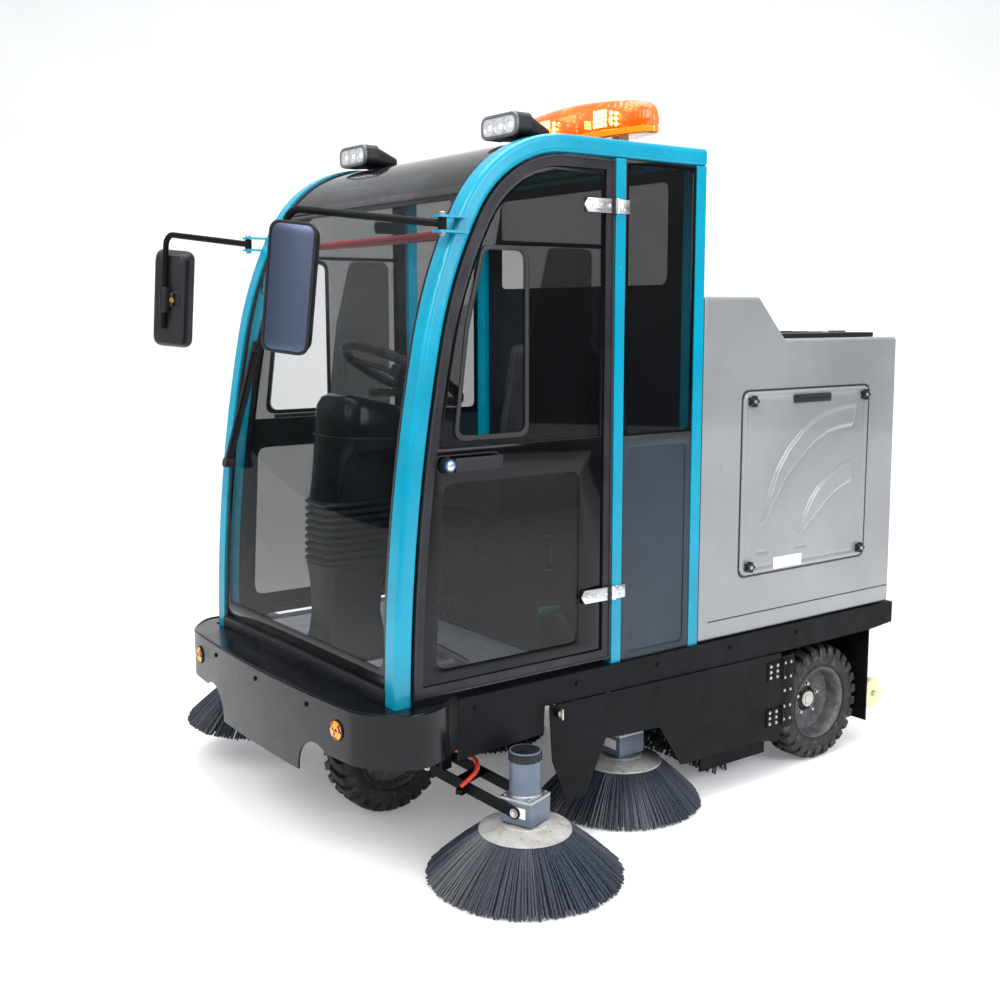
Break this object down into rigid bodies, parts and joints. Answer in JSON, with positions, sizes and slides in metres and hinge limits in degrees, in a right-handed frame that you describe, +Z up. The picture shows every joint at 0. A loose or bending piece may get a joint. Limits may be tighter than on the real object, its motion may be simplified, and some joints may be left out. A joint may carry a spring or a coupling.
{
  "type": "ride-on sweeper",
  "caption": "Ride-on floor sweeper with a closed glazed cab, front steering wheel, side brooms on arms, a main roller broom, dust bin and rear hood.",
  "frame": {"origin": "on the floor, in the middle of the front tyre's contact patch, under the steering axis", "axes": "+Z up; -Y is the driving direction; +X is the machine's left side"},
  "size_m": [2.0647, 2.2744, 2.2103],
  "materials": {
    "teal_enamel": "gloss enamel",
    "black_enamel": "satin black powder coat",
    "black_moulding": "satin moulded plastic",
    "grey_gelcoat": "glossy grey moulding",
    "slate_panel": "satin slate grey",
    "smoked_glass": "smoked tint",
    "clear_glass": "light tint",
    "amber_lens": "amber polycarbonate",
    "door_frame": "dark anodised",
    "tyre_rubber": "matt rubber",
    "rim_steel": "dark grey enamel",
    "bristle": "blue-black nylon bristle",
    "motor_grey": "blue-grey enamel",
    "steel": "zinc plated",
    "seat_vinyl": "black vinyl",
    "roller_nylon": "pale cast nylon",
    "red_sleeve": "corrugated plastic",
    "lever_green": "moulded grip"
  },
  "bodies": {
    "machine": {"chassis": "black_enamel", "front_bumper": "black_moulding", "indicator_lights": "amber_lens", "cab_pillars": "teal_enamel", "cab_posts": "teal_enamel", "windscreen": "clear_glass", "roof_panel": "smoked_glass", "cab_panels": "slate_panel", "cab_windows": "smoked_glass", "hood": "grey_gelcoat", "battery_pack": "black_moulding", "seat_box": "black_enamel", "seat_cushion": "seat_vinyl", "seat_back": "seat_vinyl", "steering_column": "black_moulding", "work_lights": "black_moulding", "beacon": "amber_lens", "rear_axle": "steel", "mid_broom_motors": "motor_grey"},
    "skirt_door": {"skirt_door": "black_enamel"},
    "hood_lid": {"hood_lid": "black_moulding"},
    "side_hatch": {"side_hatch": "grey_gelcoat", "hatch_knobs": "black_moulding"},
    "dust_bin": {"dust_bin": "black_enamel"},
    "steering_wheel": {"steering_wheel": "black_moulding"},
    "accelerator_pedal": {"accelerator_pedal": "steel"},
    "brake_pedal": {"brake_pedal": "steel"},
    "lift_lever": {"lift_lever": "lever_green"},
    "front_fork": {"front_fork": "black_enamel"},
    "front_wheel": {"front_wheel": "tyre_rubber"},
    "corner_rollers": {"corner_rollers": "roller_nylon"},
    "main_broom": {"main_broom": "bristle"},
    "wiper": {"wiper": "black_moulding"},
    "rear_wheel_left": {"rear_rim_left": "rim_steel", "rear_tyre_left": "tyre_rubber"},
    "door_left": {"door_left": "door_frame", "door_glass_left": "smoked_glass"},
    "slider_left": {"slider_left": "smoked_glass"},
    "handle_left": {"handle_left": "black_moulding"},
    "mid_broom_left": {"mid_broom_left": "bristle"},
    "broom_bracket_left": {"broom_bracket_left": "black_enamel"},
    "front_arm_left": {"front_arm_left": "black_enamel", "arm_cable": "red_sleeve"},
    "front_motor_left": {"front_motor_left": "motor_grey"},
    "front_broom_left": {"front_broom_left": "bristle"},
    "mirror_arm_left": {"mirror_arm_left": "black_enamel"},
    "mirror_head_left": {"mirror_head_left": "black_moulding"},
    "rear_wheel_right": {"rear_rim_right": "rim_steel", "rear_tyre_right": "tyre_rubber"},
    "door_right": {"door_right": "door_frame", "door_glass_right": "smoked_glass"},
    "slider_right": {"slider_right": "smoked_glass"},
    "handle_right": {"handle_right": "black_moulding"},
    "mid_broom_right": {"mid_broom_right": "bristle"},
    "broom_bracket_right": {"broom_bracket_right": "black_enamel"},
    "front_arm_right": {"front_arm_right": "black_enamel"},
    "front_motor_right": {"front_motor_right": "motor_grey"},
    "front_broom_right": {"front_broom_right": "bristle"},
    "mirror_arm_right": {"mirror_arm_right": "black_enamel"},
    "mirror_head_right": {"mirror_head_right": "black_moulding"}
  },
  "joints": [
    {"name": "skirt_door_swing", "type": "hinge", "parent": "machine", "child": "skirt_door", "pos_m": [0.585, 1.187, 0.29], "axis": [0, 0, 1], "range_deg": [0, 95]},
    {"name": "hood_lid_lift", "type": "hinge", "parent": "machine", "child": "hood_lid", "pos_m": [0, 1.215, 1.4765], "axis": [1, 0, 0], "range_deg": [0, 75]},
    {"name": "side_hatch_off", "type": "slide", "parent": "machine", "child": "side_hatch", "axis": [1, 0, 0], "range_m": [0, 0.3]},
    {"name": "dust_bin_pull", "type": "slide", "parent": "machine", "child": "dust_bin", "axis": [0, 1, 0], "range_m": [0, 0.45]},
    {"name": "fork_steer", "type": "hinge", "parent": "machine", "child": "front_fork", "pos_m": [0, 0, 0.48], "axis": [0, 0, 1], "range_deg": [-45, 45]},
    {"name": "front_wheel_roll", "type": "hinge", "parent": "front_fork", "child": "front_wheel", "pos_m": [0, 0, 0.203], "axis": [1, 0, 0], "continuous": true},
    {"name": "steering_turn", "type": "hinge", "parent": "machine", "child": "steering_wheel", "pos_m": [0, 0.075, 1.368], "axis": [0, 0.4695, 0.8829], "range_deg": [-450, 450]},
    {"name": "accelerator_press", "type": "hinge", "parent": "machine", "child": "accelerator_pedal", "pos_m": [0.33, 0.07, 0.535], "axis": [1, 0, 0], "range_deg": [0, 14], "stiffness_Nm_per_rad": 4, "springref_deg": -5.73},
    {"name": "brake_press", "type": "hinge", "parent": "machine", "child": "brake_pedal", "pos_m": [0.21, 0.07, 0.535], "axis": [1, 0, 0], "range_deg": [0, 14], "stiffness_Nm_per_rad": 6, "springref_deg": -5.73},
    {"name": "lift_lever_pull", "type": "hinge", "parent": "machine", "child": "lift_lever", "pos_m": [0.42, 0.42, 0.56], "axis": [1, 0, 0], "range_deg": [-35, 0]},
    {"name": "corner_rollers_roll", "type": "hinge", "parent": "machine", "child": "corner_rollers", "pos_m": [0, 1.735, 0.18], "axis": [1, 0, 0], "continuous": true},
    {"name": "main_broom_spin", "type": "hinge", "parent": "machine", "child": "main_broom", "pos_m": [0, 1.06, 0.145], "axis": [1, 0, 0], "continuous": true},
    {"name": "wiper_sweep", "type": "hinge", "parent": "machine", "child": "wiper", "pos_m": [-0.47, -0.29676, 1.0778], "axis": [0, -0.9808, 0.195], "range_deg": [-80, 0]},
    {"name": "rear_wheel_left_roll", "type": "hinge", "parent": "machine", "child": "rear_wheel_left", "pos_m": [0.49, 1.436, 0.203], "axis": [1, 0, 0], "continuous": true},
    {"name": "door_left_swing", "type": "hinge", "parent": "machine", "child": "door_left", "pos_m": [0.574, 0.437, 1.29], "axis": [0, 0, 1], "range_deg": [0, 85]},
    {"name": "slider_left_slide", "type": "slide", "parent": "door_left", "child": "slider_left", "axis": [0, 1, 0], "range_m": [-0.232, 0]},
    {"name": "handle_left_pull", "type": "hinge", "parent": "door_left", "child": "handle_left", "pos_m": [0.577, -0.147, 1.16], "axis": [0, 0, 1], "range_deg": [-22, 0], "stiffness_Nm_per_rad": 0.6, "springref_deg": 5.73},
    {"name": "mid_broom_left_spin", "type": "hinge", "parent": "machine", "child": "mid_broom_left", "pos_m": [0.402, 0.63, 0.14], "axis": [0, 0, 1], "continuous": true},
    {"name": "broom_swing_left", "type": "hinge", "parent": "machine", "child": "broom_bracket_left", "pos_m": [0.332, -0.05, 0.3], "axis": [0, 0, 1], "range_deg": [-28, 8]},
    {"name": "arm_lift_left", "type": "hinge", "parent": "broom_bracket_left", "child": "front_arm_left", "pos_m": [0.36031, -0.04009, 0.27], "axis": [0.3305, -0.9438, 0], "range_deg": [0, 14]},
    {"name": "head_level_left", "type": "hinge", "parent": "front_arm_left", "child": "front_motor_left", "pos_m": [0.64251, 0.05874, 0.2], "axis": [0.3305, -0.9438, 0], "range_deg": [-14.1, 0.1]},
    {"name": "front_broom_left_spin", "type": "hinge", "parent": "front_motor_left", "child": "front_broom_left", "pos_m": [0.64251, 0.05874, 0.14], "axis": [0, 0, 1], "continuous": true},
    {"name": "mirror_arm_left_swing", "type": "hinge", "parent": "machine", "child": "mirror_arm_left", "pos_m": [0.572, -0.154, 1.778], "axis": [0, 0, 1], "range_deg": [0, 100]},
    {"name": "mirror_head_left_turn", "type": "hinge", "parent": "mirror_arm_left", "child": "mirror_head_left", "pos_m": [0.18216, -0.41319, 1.62639], "axis": [0.0968, 0.0644, 0.9932], "range_deg": [-40, 40]},
    {"name": "rear_wheel_right_roll", "type": "hinge", "parent": "machine", "child": "rear_wheel_right", "pos_m": [-0.49, 1.436, 0.203], "axis": [1, 0, 0], "continuous": true},
    {"name": "door_right_swing", "type": "hinge", "parent": "machine", "child": "door_right", "pos_m": [-0.574, 0.437, 1.29], "axis": [0, 0, 1], "range_deg": [-85, 0]},
    {"name": "slider_right_slide", "type": "slide", "parent": "door_right", "child": "slider_right", "axis": [0, 1, 0], "range_m": [-0.232, 0]},
    {"name": "handle_right_pull", "type": "hinge", "parent": "door_right", "child": "handle_right", "pos_m": [-0.577, -0.147, 1.16], "axis": [0, 0, 1], "range_deg": [0, 22], "stiffness_Nm_per_rad": 0.6, "springref_deg": -5.73},
    {"name": "mid_broom_right_spin", "type": "hinge", "parent": "machine", "child": "mid_broom_right", "pos_m": [-0.402, 0.63, 0.14], "axis": [0, 0, 1], "continuous": true},
    {"name": "broom_swing_right", "type": "hinge", "parent": "machine", "child": "broom_bracket_right", "pos_m": [-0.332, -0.05, 0.3], "axis": [0, 0, 1], "range_deg": [-24, 2]},
    {"name": "arm_lift_right", "type": "hinge", "parent": "broom_bracket_right", "child": "front_arm_right", "pos_m": [-0.36178, -0.0536, 0.27], "axis": [-0.1201, 0.9928, 0], "range_deg": [-27, 0]},
    {"name": "head_level_right", "type": "hinge", "parent": "front_arm_right", "child": "front_motor_right", "pos_m": [-0.65862, -0.08952, 0.34], "axis": [-0.1201, 0.9928, 0], "range_deg": [-0.1, 27.1]},
    {"name": "front_broom_right_spin", "type": "hinge", "parent": "front_motor_right", "child": "front_broom_right", "pos_m": [-0.65862, -0.08952, 0.28], "axis": [0, 0, 1], "continuous": true},
    {"name": "mirror_arm_right_swing", "type": "hinge", "parent": "machine", "child": "mirror_arm_right", "pos_m": [-0.572, -0.154, 1.778], "axis": [0, 0, 1], "range_deg": [0, 100]},
    {"name": "mirror_head_right_turn", "type": "hinge", "parent": "mirror_arm_right", "child": "mirror_head_right", "pos_m": [-1.0354, -0.26615, 1.6035], "axis": [0.1114, 0.027, 0.9934], "range_deg": [-40, 40]}
  ],
  "couplings": [
    {"joint": "steering_turn", "follows": "fork_steer", "ratio": 10},
    {"joint": "head_level_left", "follows": "arm_lift_left", "ratio": -1},
    {"joint": "head_level_right", "follows": "arm_lift_right", "ratio": -1}
  ]
}
